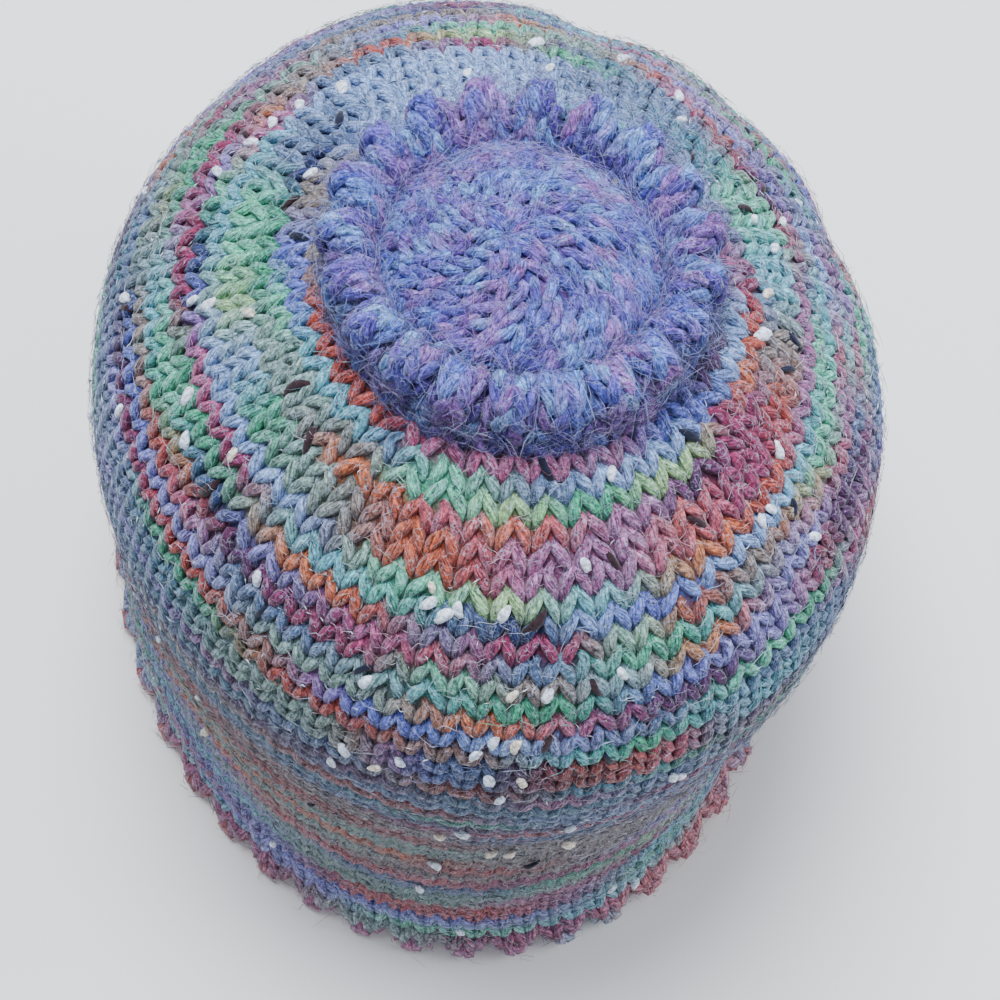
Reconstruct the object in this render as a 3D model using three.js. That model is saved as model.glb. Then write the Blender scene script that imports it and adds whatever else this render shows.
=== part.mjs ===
// A hand-knitted beanie, standing on its picot hem: a hollow stockinette body, a folded hem with small teeth,
// and a violet crown made of a scalloped frill round a domed disc. Millimetres, +Z up.
import * as THREE from "three";

// The knitting
const WALL = 4.6; // thickness of one layer of the fabric
const GAP = 0.3; // clearance between touching pieces
const HEM_STITCHES = 84; // stitches in the round at the edge
const NECK_STITCHES = 40; // stitches left where the crown begins

// The hem
const HEM_TOP = 0.125; // share of the wall that the folded hem takes
const BODY_START = HEM_TOP + 0.002; // the body begins just clear of it
const HEM_THICK = 7.6; // two layers, pressed together
const TOOTH_COUNT = HEM_STITCHES / 2;
const TOOTH_HEIGHT = 3.4;
const TOOTH_FLARE = 1.4; // how far the teeth lean outward

// The crown, measured from the middle of the neck
const LEAN_BACK = THREE.MathUtils.degToRad(-5.2); // turn about X
const LEAN_SIDE = THREE.MathUtils.degToRad(7.9); // turn about Y
const LOBE_COUNT = NECK_STITCHES / 2;
const LOBE_DEPTH = 2.0; // half the difference between a lobe and the notch beside it
const DISC_RADIUS = 25.3;
const DISC_RIM = 5.0; // height of the disc's rim above the neck
const DISC_APEX = 16.3; // height of the disc's middle above the neck
const DISC_WALL = 4.2;

// The outer surface, level by level: at is the share of the way up the wall, rx and ry are the half-widths,
// cx and cy the middle, and lean the share of the crown's lean that the level has.
const LEVELS = [
  { at: 0.0, z: 0.0, rx: 79.7, ry: 101.5, cx: -6.1, cy: 0.0, lean: 0.0 },
  { at: 0.06, z: 10.6, rx: 77.2, ry: 97.9, cx: -6.1, cy: 0.0, lean: 0.0 },
  { at: 0.13, z: 22.0, rx: 76.5, ry: 96.7, cx: -6.1, cy: 0.0, lean: 0.0 },
  { at: 0.345, z: 60.0, rx: 78.4, ry: 92.0, cx: -0.7, cy: 0.0, lean: 0.15 },
  { at: 0.555, z: 97.0, rx: 81.7, ry: 93.1, cx: 4.6, cy: 0.0, lean: 0.45 },
  { at: 0.68, z: 118.1, rx: 76.7, ry: 85.7, cx: 6.9, cy: -1.4, lean: 0.65 },
  { at: 0.815, z: 136.6, rx: 62.9, ry: 68.2, cx: 8.5, cy: -3.1, lean: 0.85 },
  { at: 0.94, z: 150.7, rx: 46.1, ry: 46.3, cx: 10.2, cy: -4.7, lean: 1.0 },
  { at: 1.0, z: 156.1, rx: 36.5, ry: 36.5, cx: 10.2, cy: -4.7, lean: 1.0 },
];

// Soft dents of the slouching wall: azimuth in degrees from +X towards +Y, then how wide (degrees), how tall
// (share of the wall) and how deep (millimetres) each is.
const DENTS = [
  { azimuth: 9, at: 0.6, wide: 5, tall: 0.13, depth: 2.2 },
  { azimuth: 33, at: 0.62, wide: 5, tall: 0.12, depth: 1.2 },
  { azimuth: 60, at: 0.6, wide: 5, tall: 0.15, depth: 3.0 },
  { azimuth: 124, at: 0.6, wide: 12, tall: 0.14, depth: 1.4 },
  { azimuth: 205, at: 0.3, wide: 16, tall: 0.1, depth: 1.2 },
];

// Section of the frill in the crown's own frame, from the foot round over the tip and back: r outward, h up,
// and lobe the share of the scallop that the point takes.
const VALLEY = DISC_RADIUS + GAP;
const FRILL_SECTION = [
  { r: 33.7, h: -3.6, lobe: 0.0 },
  { r: 35.8, h: 0.5, lobe: 0.0 },
  { r: 37.1, h: 4.2, lobe: 0.4 },
  { r: 37.5, h: 8.0, lobe: 0.9 },
  { r: 36.8, h: 11.0, lobe: 1.0 },
  { r: 34.8, h: 12.7, lobe: 1.0 },
  { r: 31.9, h: 11.6, lobe: 0.7 },
  { r: 28.9, h: 8.0, lobe: 0.3 },
  { r: VALLEY, h: 5.2, lobe: 0.0 },
  { r: VALLEY, h: 1.0, lobe: 0.0 },
  { r: 29.6, h: -1.8, lobe: 0.0 },
];

const COLUMNS = ["z", "rx", "ry", "cx", "cy", "lean"];
const levels = new THREE.CubicInterpolant(
  LEVELS.map((level) => level.at),
  LEVELS.flatMap((level) => COLUMNS.map((column) => level[column])),
  COLUMNS.length,
);

// Sum of the dents at a place on the wall.
function dentDepth(at, azimuth) {
  let depth = 0;
  for (const dent of DENTS) {
    const turned = THREE.MathUtils.radToDeg(azimuth) - dent.azimuth;
    const across = (THREE.MathUtils.euclideanModulo(turned + 180, 360) - 180) / dent.wide;
    const along = (at - dent.at) / dent.tall;
    depth += dent.depth * Math.exp(-(across ** 2 + along ** 2) / 2);
  }
  return depth;
}

// A point of the outer surface.
function wallPoint(at, azimuth) {
  const [z, rx, ry, cx, cy, lean] = levels.evaluate(at);
  const dent = dentDepth(at, azimuth);
  const point = new THREE.Vector3((rx - dent) * Math.cos(azimuth), (ry - dent) * Math.sin(azimuth), 0);
  point.applyEuler(new THREE.Euler(LEAN_BACK * lean, LEAN_SIDE * lean, 0, "YXZ"));
  return point.add(new THREE.Vector3(cx, cy, z));
}

// A point that lies depth under the outer surface, square to it.
function underWall(at, azimuth, depth) {
  const step = 0.004;
  const point = wallPoint(at, azimuth);
  const up = wallPoint(Math.min(at + step, 1), azimuth).sub(wallPoint(Math.max(at - step, 0), azimuth));
  const round = wallPoint(at, azimuth + step).sub(wallPoint(at, azimuth - step));
  return point.addScaledVector(round.cross(up).normalize(), -depth);
}

// Turns a closed section into a closed ring, its points carried to their places by place(azimuth, x, y, row).
function ring(section, steps, place) {
  const loop = [...section, section[0]];
  const geometry = new THREE.LatheGeometry(loop.map(([x, y]) => new THREE.Vector2(x, y)), steps);
  const position = geometry.attributes.position;
  for (let i = 0; i < position.count; i++) {
    const step = Math.floor(i / loop.length) % steps;
    const row = (i % loop.length) % section.length;
    const [x, y] = section[row];
    const point = place((step / steps) * 2 * Math.PI, x, y, row, step);
    position.setXYZ(i, point.x, point.y, point.z);
  }
  geometry.computeVertexNormals();
  return geometry;
}

function knit(name, geometry, color) {
  const material = new THREE.MeshStandardMaterial({ color, roughness: 0.95, metalness: 0 });
  const mesh = new THREE.Mesh(geometry, material);
  mesh.name = name;
  return mesh;
}

// The body: one layer, from the top of the hem to the neck.
function body() {
  const rows = 13;
  const share = (row) => BODY_START + ((1 - BODY_START) * row) / (rows - 1);
  const outer = Array.from({ length: rows }, (_, row) => [0, share(row)]);
  const inner = outer.map(([, at]) => [WALL, at]).reverse();
  return ring([...outer, ...inner], 64, (azimuth, depth, at) => underWall(at, azimuth, depth));
}

// The hem: two layers with a rounded top inside, its lower edge cut into teeth that stand on flat tips.
function picotHem() {
  const rounding = 1.6; // how far the lower corners are taken in
  const toothReach = 0.05; // share of the wall over which the teeth fade out
  const stepsPerTooth = 4;
  const section = [
    [rounding, 0.0],
    [0.0, 0.02],
    [0.0, 0.07],
    [0.0, HEM_TOP],
    [HEM_THICK * 0.6, HEM_TOP],
    [HEM_THICK, HEM_TOP * 0.86],
    [HEM_THICK, 0.03],
    [HEM_THICK - rounding, 0.0],
  ];
  return ring(section, TOOTH_COUNT * stepsPerTooth, (azimuth, depth, at, row, step) => {
    const point = underWall(at, azimuth, depth);
    const low = Math.max(0, 1 - at / toothReach);
    const isTip = step % stepsPerTooth < stepsPerTooth / 2;
    if (isTip) {
      const middle = new THREE.Vector3(LEVELS[0].cx, LEVELS[0].cy, point.z);
      point.addScaledVector(point.clone().sub(middle).normalize(), TOOTH_FLARE * low);
    }
    const lift = isTip ? 0 : TOOTH_HEIGHT;
    point.z = at === 0 ? lift : point.z + lift * 0.4 * low;
    return point;
  });
}

// The frill: a double fold whose tip swells into lobes.
function crownFrill() {
  const section = FRILL_SECTION.map(({ r, h }) => [r, h]);
  return ring(section, LOBE_COUNT * 6, (azimuth, r, h, row) => {
    const swell = LOBE_DEPTH * Math.cos(LOBE_COUNT * azimuth) * FRILL_SECTION[row].lobe;
    const radius = r + swell;
    return new THREE.Vector3(radius * Math.cos(azimuth), radius * Math.sin(azimuth), h + swell * 0.4);
  });
}

// The disc: a dome of one layer, open below.
function crownDisc() {
  const shares = [0, 0.2, 0.4, 0.6, 0.8, 1];
  const height = (share) => DISC_RIM + (DISC_APEX - DISC_RIM) * (1 - share ** 2);
  const outer = shares.map((share) => new THREE.Vector2(share * DISC_RADIUS, height(share)));
  const inner = outer.map((point) => new THREE.Vector2(point.x, point.y - DISC_WALL));
  return new THREE.LatheGeometry([...inner, ...outer.reverse()], 40).rotateX(Math.PI / 2);
}

const STRIPED_YARN = "#7d8a9a";
const VIOLET_YARN = "#6c6ab4";

const neck = LEVELS[LEVELS.length - 1];
const crown = new THREE.Group();
crown.position.set(neck.cx, neck.cy, neck.z);
crown.rotation.set(LEAN_BACK, LEAN_SIDE, 0, "YXZ");
crown.add(knit("crown_frill", crownFrill(), VIOLET_YARN));
crown.add(knit("crown_disc", crownDisc(), VIOLET_YARN));

const beanie = new THREE.Group();
beanie.add(knit("body", body(), STRIPED_YARN));
beanie.add(knit("picot_hem", picotHem(), STRIPED_YARN));
beanie.add(crown);

export default beanie;
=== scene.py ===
import math

import bmesh
import bpy
import numpy as np
from mathutils import Matrix, Vector


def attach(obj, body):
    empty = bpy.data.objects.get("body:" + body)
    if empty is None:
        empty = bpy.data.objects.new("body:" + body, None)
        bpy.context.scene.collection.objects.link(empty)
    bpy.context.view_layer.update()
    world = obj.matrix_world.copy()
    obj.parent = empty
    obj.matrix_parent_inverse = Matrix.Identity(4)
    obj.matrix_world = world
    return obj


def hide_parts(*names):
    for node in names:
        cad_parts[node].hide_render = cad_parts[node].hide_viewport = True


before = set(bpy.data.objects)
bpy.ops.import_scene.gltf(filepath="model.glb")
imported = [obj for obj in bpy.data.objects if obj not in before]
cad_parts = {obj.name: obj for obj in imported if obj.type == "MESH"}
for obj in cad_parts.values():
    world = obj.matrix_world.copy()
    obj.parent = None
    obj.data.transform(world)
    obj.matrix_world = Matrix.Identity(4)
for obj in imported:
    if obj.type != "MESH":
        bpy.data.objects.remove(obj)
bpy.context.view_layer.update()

MM = 0.001


# ------------------------------------------------------------
# The view: a camera above the near side of the beanie, looking down on the crown.

def place_camera():
    aim = Vector((2.9, -22.3, 90.0)) * MM
    azimuth, elevation, roll = math.radians(-12.9), math.radians(70.15), math.radians(0.47)
    distance = 486 * MM
    toward = Vector((math.sin(azimuth) * math.cos(elevation), -math.cos(azimuth) * math.cos(elevation),
                     math.sin(elevation)))
    turn = (-toward).to_track_quat("-Z", "Y").to_matrix() @ Matrix.Rotation(roll, 3, "Z")
    data = bpy.data.cameras.new("view")
    data.lens = 84.1
    data.sensor_width = 36.0
    data.clip_start = 0.01
    camera = bpy.data.objects.new("view", data)
    camera.matrix_world = Matrix.Translation(aim + toward * distance) @ turn.to_4x4()
    bpy.context.scene.collection.objects.link(camera)
    bpy.context.scene.camera = camera


place_camera()


# ------------------------------------------------------------
# The floor and the light: a pale seamless floor, a broad soft light overhead and a weaker one at the side.

def to_linear(code):
    """An sRGB hex colour as linear red, green and blue."""
    parts = [int(code[i:i + 2], 16) / 255 for i in (1, 3, 5)]
    return tuple(c / 12.92 if c <= 0.04045 else ((c + 0.055) / 1.055) ** 2.4 for c in parts)


def add_node(tree, kind, settings):
    """Adds a node; settings are its properties, its inputs' values, or the sockets that feed them."""
    node = tree.nodes.new("ShaderNode" + kind)
    for name, value in settings.items():
        if isinstance(value, bpy.types.NodeSocket):
            tree.links.new(value, node.inputs[name])
        elif isinstance(name, int) or name in node.inputs:
            node.inputs[name].default_value = value
        else:
            setattr(node, name, value)
    return node


def new_material(name, settings):
    """A material with its shader's inputs set, with its nodes and the shader."""
    material = bpy.data.materials.new(name)
    material.use_nodes = True
    shader = material.node_tree.nodes["Principled BSDF"]
    for label, value in settings.items():
        shader.inputs[label].default_value = value
    return material, material.node_tree, shader


def make_floor():
    sheet = bmesh.new()
    bmesh.ops.create_grid(sheet, x_segments=1, y_segments=1, size=3.0)
    mesh = bpy.data.meshes.new("floor")
    sheet.to_mesh(mesh)
    sheet.free()
    floor = bpy.data.objects.new("floor", mesh)
    bpy.context.scene.collection.objects.link(floor)
    look = {"Base Color": (*to_linear("#FBF5EA"), 1), "Roughness": 0.9}
    mesh.materials.append(new_material("pale seamless paper", look)[0])


LAMP_COLOUR = (0.86, 0.94, 1.08)  # daylight from a north window, a little blue
SKY_COLOUR = (0.80, 0.91, 1.12, 1)


def make_light(name, place, aim, size, watts):
    data = bpy.data.lights.new(name, "AREA")
    data.shape = "DISK"
    data.size = size
    data.energy = watts
    data.color = LAMP_COLOUR
    light = bpy.data.objects.new(name, data)
    light.location = place
    light.rotation_euler = (Vector(aim) - Vector(place)).to_track_quat("-Z", "Y").to_euler()
    bpy.context.scene.collection.objects.link(light)


make_floor()
world = bpy.data.worlds.new("studio")
world.use_nodes = True
world.node_tree.nodes["Background"].inputs["Color"].default_value = SKY_COLOUR
world.node_tree.nodes["Background"].inputs["Strength"].default_value = 0.55
bpy.context.scene.world = world
make_light("overhead", (0.0, 0.4, 1.3), (0, 0, 0.1), 0.7, 33)
make_light("side", (1.2, -0.2, 0.7), (0, 0, 0.1), 0.8, 11)


# ------------------------------------------------------------
# The body: rounds of stockinette in a loosely spun tweed wool that changes colour along its length. Each
# round is one closed strand, bent into a loop for every stitch, so that the legs of the loops make the V's
# outside, and their heads and feet the purl bumps inside.

LEVELS = np.array((  # at, z, rx, ry, cx, cy, lean: ovals from the edge (0) up to the neck (1)
    (0.000, 0.0, 79.7, 101.5, -6.1, 0.0, 0.00),
    (0.060, 10.6, 77.2, 97.9, -6.1, 0.0, 0.00),
    (0.130, 22.0, 76.5, 96.7, -6.1, 0.0, 0.00),
    (0.345, 60.0, 78.4, 92.0, -0.7, 0.0, 0.15),
    (0.555, 97.0, 81.7, 93.1, 4.6, 0.0, 0.45),
    (0.680, 118.1, 76.7, 85.7, 6.9, -1.4, 0.65),
    (0.815, 136.6, 62.9, 68.2, 8.5, -3.1, 0.85),
    (0.940, 150.7, 46.1, 46.3, 10.2, -4.7, 1.00),
    (1.000, 156.1, 36.5, 36.5, 10.2, -4.7, 1.00),
))
DENTS = (  # azimuth and width in degrees, place and height as shares of the wall, depth in millimetres
    {"azimuth": 9, "at": 0.60, "wide": 5, "tall": 0.13, "depth": 2.2},
    {"azimuth": 33, "at": 0.62, "wide": 5, "tall": 0.12, "depth": 1.2},
    {"azimuth": 60, "at": 0.60, "wide": 5, "tall": 0.15, "depth": 3.0},
    {"azimuth": 124, "at": 0.60, "wide": 12, "tall": 0.14, "depth": 1.4},
    {"azimuth": 205, "at": 0.30, "wide": 16, "tall": 0.10, "depth": 1.2},
)
LEAN_BACK, LEAN_SIDE = math.radians(-5.2), math.radians(7.9)
WALL_LENGTH = 177.0  # millimetres along the wall, from the edge to the neck
ROUNDS = 44  # rounds from the edge to the neck
ROW = WALL_LENGTH / ROUNDS
EDGE_STITCHES, NECK_STITCHES = 84, 40
FIRST_DECREASE = 30  # the round where the wall begins to narrow
FABRIC_MIDDLE = 2.4  # millimetres in from the outer surface
STRAND, FULL_STITCH = 1.24, 6.5  # the strand's radius, and the width of a stitch that lets it spread
YARN_IN_ROUND = 370.0  # millimetres of yarn before the next round's stretch
WALL_STEP = (0.8, 0.006)  # millimetres up and radians round, to measure the wall's slope over
TURN = 2 * math.pi
dice = np.random.default_rng(7)


def level_at(at):
    """The columns of LEVELS at places between its rows, on a smooth curve."""
    x, y = LEVELS[:, 0], LEVELS[:, 1:]
    secant = np.diff(y, axis=0) / np.diff(x)[:, None]
    slope = np.vstack([secant[:1], (secant[1:] + secant[:-1]) / 2, secant[-1:]])
    i = np.clip(np.searchsorted(x, at, side="right") - 1, 0, len(x) - 2)
    span = (x[i + 1] - x[i])[:, None]
    p = (at - x[i])[:, None] / span
    return (y[i] * (1 + 2 * p) * (1 - p) ** 2 + slope[i] * span * p * (1 - p) ** 2
            + y[i + 1] * p ** 2 * (3 - 2 * p) - slope[i + 1] * span * p ** 2 * (1 - p))


def lean(flat, share):
    """Points turned by the crown's lean, or by a share of it."""
    back, side = LEAN_BACK * share, LEAN_SIDE * share
    x, y, z = flat.T
    y, z = y * np.cos(back) - z * np.sin(back), y * np.sin(back) + z * np.cos(back)
    x, z = x * np.cos(side) + z * np.sin(side), z * np.cos(side) - x * np.sin(side)
    return np.stack([x, y, z], 1)


def wall_point(at, azimuth):
    """Points of the outer surface, in millimetres."""
    z, rx, ry, cx, cy, share = level_at(np.clip(at, 0, 1)).T
    dent = np.zeros_like(azimuth)
    for d in DENTS:
        across = ((np.degrees(azimuth) - d["azimuth"] + 180) % 360 - 180) / d["wide"]
        dent += d["depth"] * np.exp(-(across ** 2 + ((at - d["at"]) / d["tall"]) ** 2) / 2)
    flat = np.stack([(rx - dent) * np.cos(azimuth), (ry - dent) * np.sin(azimuth), 0 * azimuth], 1)
    return lean(flat, share) + np.stack([cx, cy, z], 1)


def unit(vectors):
    return vectors / np.linalg.norm(vectors, axis=1, keepdims=True)


def outward(surface, way, azimuth, step=(0.4, 0.01)):
    """Directions straight out of a surface that is a function of the way up it and the azimuth."""
    up = surface(way + step[0], azimuth) - surface(way - step[0], azimuth)
    along = surface(way, azimuth + step[1]) - surface(way, azimuth - step[1])
    return unit(np.cross(along, up))


def outer_wall(way, azimuth):
    """The outer surface by millimetres up the wall; past its ends it runs straight on."""
    inside = np.clip(way / WALL_LENGTH, 0.004, 0.999)
    point = wall_point(inside, azimuth)
    slope = unit(point - wall_point(inside - 0.004, azimuth))
    return point + slope * (way - inside * WALL_LENGTH)[:, None]


def wall_middle(way, azimuth):
    """The middle of the fabric's thickness."""
    return outer_wall(way, azimuth) - FABRIC_MIDDLE * outward(outer_wall, way, azimuth, WALL_STEP)


# One side of a stitch, from foot to head: side is the share of the stitch's half-width, rise is in rounds,
# depth in millimetres outward, and thick scales the strand, which is squeezed where loops cross.
HALF_STITCH = np.array((
    (1.00, -0.60, -1.10, 0.80),
    (0.62, -0.72, -0.70, 0.82),
    (0.24, -0.54, 0.35, 0.88),
    (0.32, -0.20, 1.05, 1.02),
    (0.53, 0.18, 1.20, 1.08),
    (0.79, 0.54, 0.80, 0.98),
    (0.76, 0.88, -0.45, 0.84),
    (0.00, 1.02, -1.10, 0.80),
))


def next_round(places, count, phase):
    """Works stitches together evenly until count are left: where the old heads are held, where the new
    stitches have their feet, and where they settle."""
    feet, heads = places.copy(), places.copy()
    extra = len(places) - count
    if extra:
        picks = np.floor((np.arange(extra) + phase) * len(places) / extra).astype(int) % len(places)
        partner = (picks + 1) % len(places)
        turn = np.where(partner < picks, TURN, 0)
        feet[picks] = (places[picks] + places[partner] + turn) / 2
        pinch = 0.2 * TURN / len(places)
        heads[picks] = feet[picks] - pinch
        heads[partner] = feet[picks] - turn + pinch
        feet = np.delete(feet, partner)
    feet = np.sort(feet)
    gaps = np.diff(np.append(feet, feet[0] + TURN))
    even = 0.5 * gaps + 0.25 * (np.roll(gaps, 1) + np.roll(gaps, -1))
    even = 0.88 * even + 0.12 * even.mean()
    settled = np.concatenate([[0], np.cumsum(even)[:-1]])
    return heads, feet, settled + (feet - settled).mean()


def knit_round(surface, start, row, stands, radius, depth_scale=1.0, loose=1.0):
    """The strand of one round laid on a surface: its points, outward directions, radii and azimuths."""
    feet, places, heads = stands
    order = np.r_[0:8, 6:0:-1]
    hand = np.r_[-np.ones(8), np.ones(6)]
    side, rise, depth, thick = HALF_STITCH[order].T

    def halves(centres):
        before = np.diff(np.insert(centres, 0, centres[-1] - TURN)) / 2
        return before[:, None] * (hand < 0) + np.roll(before, -1)[:, None] * (hand > 0)

    # A loop springs from where the round below holds it, settles in its own place, and its head goes where
    # the next round holds it. The hand's unevenness is least where loops cross.
    shake = loose * dice.normal(size=(5, len(places), 1))
    middle = 1 - side * 0.6
    own = np.clip((rise + 0.6) / 1.3, 0, 1)
    own = own * own * (3 - 2 * own)
    held = np.clip((rise - 0.35) / 0.6, 0, 1)
    foot = feet[:, None] + hand * side * halves(feet)
    place = (places[:, None] * (1 - held) + heads[:, None] * held) + hand * side * halves(places)
    azimuth = foot * (1 - own) + place * own + 0.04 * shake[0] * halves(places) * middle
    rise = rise + 0.04 * shake[1] * middle + 0.04 * shake[4] * hand * (depth > 0)
    depth = (depth + 0.15 * shake[2] * middle) * depth_scale
    thick = thick * (1 + 0.05 * shake[3] * middle)
    azimuth, rise, depth, thick = (value.ravel() for value in np.broadcast_arrays(azimuth, rise, depth, thick))
    way = start + (rise + 0.5) * row
    normal = outward(surface, way, azimuth)
    return {"points": surface(way, azimuth) + normal * depth[:, None], "outward": normal,
            "radius": thick * radius, "azimuth": azimuth}


def tint(strand, number, dye):
    """Gives a strand its two yarn colours, from a function of the azimuth, and its own stretch of yarn."""
    strand["main"], strand["second"] = dye(strand["azimuth"])
    strand["begin"] = number * YARN_IN_ROUND
    return strand


def new_piece(name, corners, faces, maps=None, **colours):
    """A smooth mesh in millimetres, from its corners, faces of one kind, UV map and colour attributes."""
    mesh = bpy.data.meshes.new(name)
    mesh.vertices.add(len(corners))
    mesh.vertices.foreach_set("co", (corners * MM).ravel())
    mesh.loops.add(faces.size)
    mesh.loops.foreach_set("vertex_index", faces.ravel())
    mesh.polygons.add(len(faces))
    mesh.polygons.foreach_set("loop_start", np.arange(len(faces)) * faces.shape[1])
    mesh.update(calc_edges=True)
    if maps is not None:
        mesh.uv_layers.new(name="strand").data.foreach_set("uv", maps.ravel())
    for label, values in colours.items():
        layer = mesh.attributes.new(label, "FLOAT_COLOR", "POINT")
        layer.data.foreach_set("color", np.hstack([values, np.ones((len(values), 1))]).ravel())
    mesh.shade_smooth()
    piece = bpy.data.objects.new(name, mesh)
    bpy.context.scene.collection.objects.link(piece)
    return piece


def strand_mesh(name, strands, sides):
    """One mesh of closed strands. Its UV map is tenths of a metre along the strand, and turns round it."""
    corners, faces, maps, mains, seconds = [], [], [], [], []
    first = 0
    for strand in strands:
        points, count = strand["points"], len(strand["points"])
        tangent = unit(np.roll(points, -1, 0) - np.roll(points, 1, 0))
        across = unit(np.cross(tangent, strand["outward"]))
        out = np.cross(across, tangent)
        angle = (np.arange(sides) * TURN / sides + math.pi)[:, None]
        ring = out[:, None] * np.cos(angle) * 0.94 + across[:, None] * np.sin(angle) * 1.04
        corners.append((points[:, None] + ring * strand["radius"][:, None, None]).reshape(-1, 3))
        i, j = np.meshgrid(np.arange(count), np.arange(sides), indexing="ij")
        after, beside = (i + 1) % count, (j + 1) % sides
        quads = np.stack([i * sides + j, after * sides + j, after * sides + beside, i * sides + beside], -1)
        faces.append(quads.reshape(-1, 4) + first)
        steps = np.linalg.norm(np.roll(points, -1, 0) - points, axis=1)
        length = strand["begin"] + np.concatenate([[0], np.cumsum(steps)])
        u = np.stack([length[i], length[i + 1], length[i + 1], length[i]], -1)
        v = np.stack([j, j, j + 1, j + 1], -1) / sides
        maps.append(np.stack([u / 100, v], -1).reshape(-1, 2))
        mains.append(np.repeat(strand["main"], sides, 0))
        seconds.append(np.repeat(strand["second"], sides, 0))
        first += count * sides
    return new_piece(name, np.concatenate(corners), np.concatenate(faces), np.concatenate(maps),
                     yarn_main=np.concatenate(mains), yarn_second=np.concatenate(seconds))


YARN_COLOURS = {  # the dyed wool, and the fibre blended into it
    "mint": ("#63C196", "#8FB9B8"), "emerald": ("#41A273", "#6F9C9C"), "aqua": ("#66B0B8", "#8FB4D2"),
    "sky": ("#829FD0", "#AEBFDE"), "periwinkle": ("#5D66BC", "#8C96CE"), "lavender": ("#827BBC", "#A3A2CA"),
    "slate": ("#5C7398", "#8F9CB6"), "navy": ("#262F5C", "#4A5584"), "raspberry": ("#963657", "#8A5480"),
    "rose": ("#B4567A", "#9C82AA"), "mauve": ("#A06088", "#9A8CB2"), "plum": ("#582C52", "#745A86"),
    "brick": ("#B24A38", "#96606A"), "coral": ("#C65E58", "#A8748A"), "rust": ("#9A4028", "#7C5456"),
    "orange": ("#CC6C3C", "#A4766C"), "tan": ("#B08458", "#9A8C84"), "taupe": ("#88756A", "#959A9E"),
    "sage": ("#819C8C", "#93A6AE"), "moss": ("#A0C07E", "#8AB29C"), "teal": ("#43788A", "#6E8AA4"),
}

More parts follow.
